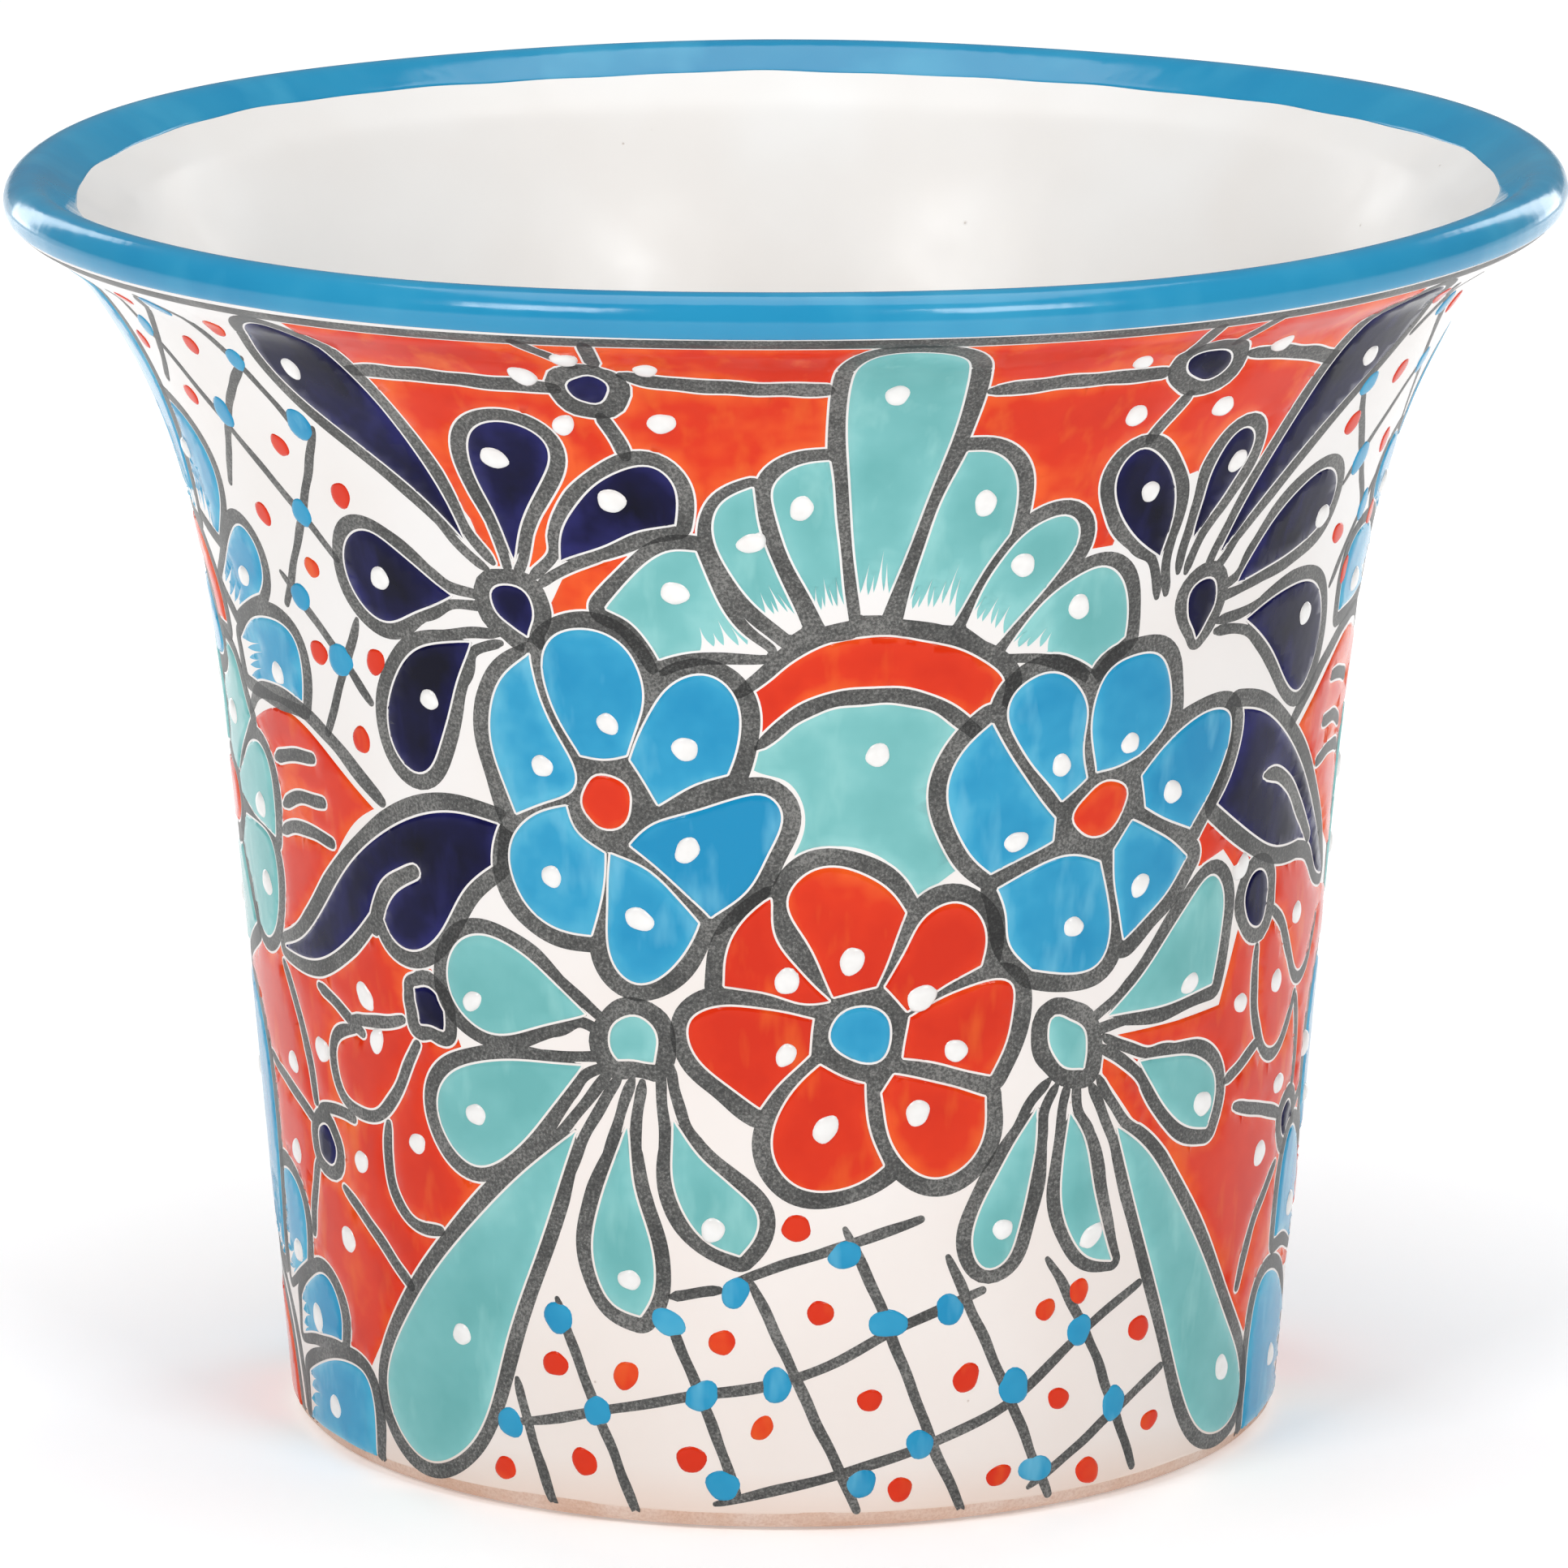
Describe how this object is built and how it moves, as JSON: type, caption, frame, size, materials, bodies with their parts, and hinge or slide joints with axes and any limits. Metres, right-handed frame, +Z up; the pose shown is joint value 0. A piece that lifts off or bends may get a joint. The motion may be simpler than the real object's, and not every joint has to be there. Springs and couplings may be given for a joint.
{
  "type": "planter pot",
  "caption": "Flared round clay pot with a thick rolled lip, a flat base and a drain hole, under painted tin glaze.",
  "frame": {"origin": "centre of the underside, on the surface that the pot stands on", "axes": "+Z up along the pot's turning axis; -Y is the side with the front painted panel, +X is that panel's right"},
  "size_m": [0.2998, 0.2998, 0.2449],
  "materials": {
    "earthenware": "bare fired clay, matt and slightly grainy",
    "white_glaze": "glossy white tin glaze, warm where it runs thin",
    "blue_glaze": "glossy brushed sky-blue glaze"
  },
  "bodies": {
    "root": {"clay_floor": "earthenware", "clay_wall": "earthenware", "clay_lip": "earthenware", "outer_glaze": "white_glaze", "inner_glaze": "white_glaze", "rim_glaze": "blue_glaze"}
  },
  "joints": []
}
